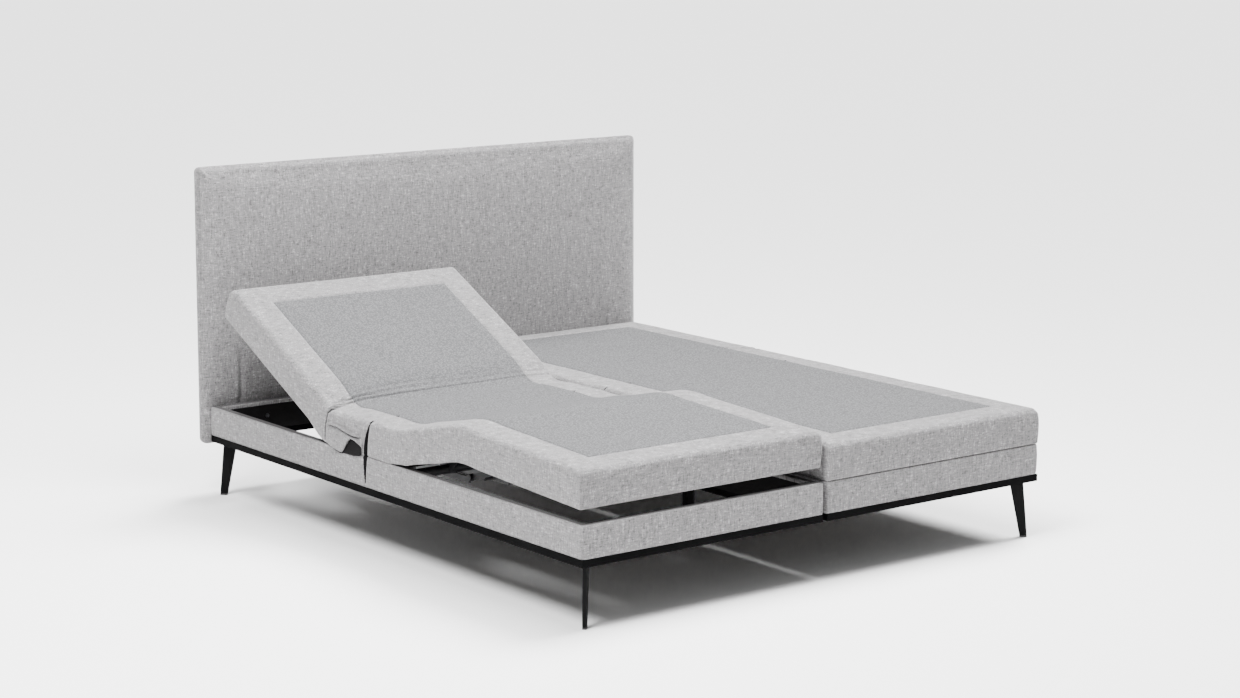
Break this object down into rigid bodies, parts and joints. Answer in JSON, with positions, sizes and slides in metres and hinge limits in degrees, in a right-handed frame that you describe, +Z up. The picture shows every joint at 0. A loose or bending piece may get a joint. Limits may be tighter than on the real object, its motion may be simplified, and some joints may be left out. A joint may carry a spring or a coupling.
{
  "type": "adjustable bed base",
  "caption": "Twin adjustable box-spring base with a padded headboard; each half's back and leg sections fold up over an upholstered lower box on slim splayed legs.",
  "frame": {"origin": "middle of the footprint on the floor", "axes": "+X to the right seen from the foot end, +Y to the headboard, +Z up"},
  "size_m": [1.85, 2.17, 1.12],
  "materials": {
    "grey_weave": "melange woven upholstery",
    "black_steel": "matt black powder coat",
    "frame_steel": "satin black paint",
    "plywood": "black-stained plywood",
    "zinc_bolts": "dark zinc plated",
    "nylon": "black nylon",
    "black_plastic": "moulded, fine grain"
  },
  "bodies": {
    "base": {"plinth_side_bars": "black_steel", "plinth_centre_bars": "black_steel", "plinth_foot_bars": "black_steel", "plinth_head_bars": "black_steel", "leg_foot_left": "black_steel", "leg_foot_right": "black_steel", "leg_head_left": "black_steel", "leg_head_right": "black_steel", "support_legs": "black_steel", "leg_glides": "black_plastic", "leg_bolts": "zinc_bolts", "corner_blocks": "plywood", "headboard_padding": "grey_weave", "headboard_core": "plywood", "headboard_bolts": "zinc_bolts", "box_coupling_bolts": "zinc_bolts", "hip_gussets": "grey_weave", "tube_bearings": "nylon", "left_side_rail": "grey_weave", "left_inner_rail": "grey_weave", "left_foot_rail": "grey_weave", "left_head_rail": "grey_weave", "left_cross_members": "plywood", "left_seat_board": "plywood", "left_seat_pad": "grey_weave", "left_link_brackets": "frame_steel", "left_drive_housing": "black_plastic", "right_side_rail": "grey_weave", "right_inner_rail": "grey_weave", "right_foot_rail": "grey_weave", "right_head_rail": "grey_weave", "right_cross_members": "plywood", "right_seat_board": "plywood", "right_seat_pad": "grey_weave", "right_link_brackets": "frame_steel", "right_drive_housing": "black_plastic"},
    "left_back_section": {"left_back_frame": "frame_steel", "left_back_board": "plywood", "left_back_pad": "grey_weave"},
    "left_thigh_section": {"left_thigh_frame": "frame_steel", "left_thigh_board": "plywood", "left_thigh_pad": "grey_weave"},
    "left_calf_section": {"left_calf_frame": "frame_steel", "left_calf_board": "plywood", "left_calf_pad": "grey_weave"},
    "left_calf_link_pair": {"left_calf_links": "frame_steel"},
    "left_back_pusher": {"left_back_push_block": "nylon"},
    "left_leg_pusher": {"left_leg_push_block": "nylon"},
    "right_back_section": {"right_back_frame": "frame_steel", "right_back_board": "plywood", "right_back_pad": "grey_weave"},
    "right_thigh_section": {"right_thigh_frame": "frame_steel", "right_thigh_board": "plywood", "right_thigh_pad": "grey_weave"},
    "right_calf_section": {"right_calf_frame": "frame_steel", "right_calf_board": "plywood", "right_calf_pad": "grey_weave"},
    "right_calf_link_pair": {"right_calf_links": "frame_steel"},
    "right_back_pusher": {"right_back_push_block": "nylon"},
    "right_leg_pusher": {"right_leg_push_block": "nylon"}
  },
  "joints": [
    {"name": "left_back_lift", "type": "hinge", "parent": "base", "child": "left_back_section", "pos_m": [-0.4545, 0.275, 0.27], "axis": [1, 0, 0], "range_deg": [-26, 34]},
    {"name": "left_thigh_lift", "type": "hinge", "parent": "base", "child": "left_thigh_section", "pos_m": [-0.4545, -0.125, 0.27], "axis": [-1, 0, 0], "range_deg": [-11.5, 18.5]},
    {"name": "left_knee_fold", "type": "hinge", "parent": "left_thigh_section", "child": "left_calf_section", "pos_m": [-0.4545, -0.46653, 0.36194], "axis": [1, 0, 0], "range_deg": [-14.15, 22.77]},
    {"name": "left_calf_link_swing", "type": "hinge", "parent": "base", "child": "left_calf_link_pair", "pos_m": [-0.4545, -0.191, 0.249], "axis": [-1, 0, 0], "range_deg": [-11.86, 19.07]},
    {"name": "left_back_push", "type": "slide", "parent": "base", "child": "left_back_pusher", "axis": [0, 1, 0], "range_m": [-0.02168, 0.02834]},
    {"name": "left_leg_push", "type": "slide", "parent": "base", "child": "left_leg_pusher", "axis": [0, -1, 0], "range_m": [-0.00993, 0.01597]},
    {"name": "right_back_lift", "type": "hinge", "parent": "base", "child": "right_back_section", "pos_m": [0.4545, 0.275, 0.27], "axis": [1, 0, 0], "range_deg": [0, 60]},
    {"name": "right_thigh_lift", "type": "hinge", "parent": "base", "child": "right_thigh_section", "pos_m": [0.4545, -0.125, 0.27], "axis": [-1, 0, 0], "range_deg": [0, 30]},
    {"name": "right_knee_fold", "type": "hinge", "parent": "right_thigh_section", "child": "right_calf_section", "pos_m": [0.4545, -0.478, 0.292], "axis": [1, 0, 0], "range_deg": [0, 36.91]},
    {"name": "right_calf_link_swing", "type": "hinge", "parent": "base", "child": "right_calf_link_pair", "pos_m": [0.4545, -0.191, 0.249], "axis": [-1, 0, 0], "range_deg": [0, 30.91]},
    {"name": "right_back_push", "type": "slide", "parent": "base", "child": "right_back_pusher", "axis": [0, 1, 0], "range_m": [0, 0.05001]},
    {"name": "right_leg_push", "type": "slide", "parent": "base", "child": "right_leg_pusher", "axis": [0, -1, 0], "range_m": [0, 0.02589]}
  ],
  "couplings": [
    {"joint": "left_knee_fold", "follows": "left_thigh_lift", "ratio": 1.23},
    {"joint": "left_calf_link_swing", "follows": "left_thigh_lift", "ratio": 1.03},
    {"joint": "left_leg_push", "follows": "left_thigh_lift", "m_per_rad": 0.049431},
    {"joint": "left_back_push", "follows": "left_back_lift", "m_per_rad": 0.047746},
    {"joint": "right_knee_fold", "follows": "right_thigh_lift", "ratio": 1.23},
    {"joint": "right_calf_link_swing", "follows": "right_thigh_lift", "ratio": 1.03},
    {"joint": "right_leg_push", "follows": "right_thigh_lift", "m_per_rad": 0.049431},
    {"joint": "right_back_push", "follows": "right_back_lift", "m_per_rad": 0.047746}
  ]
}
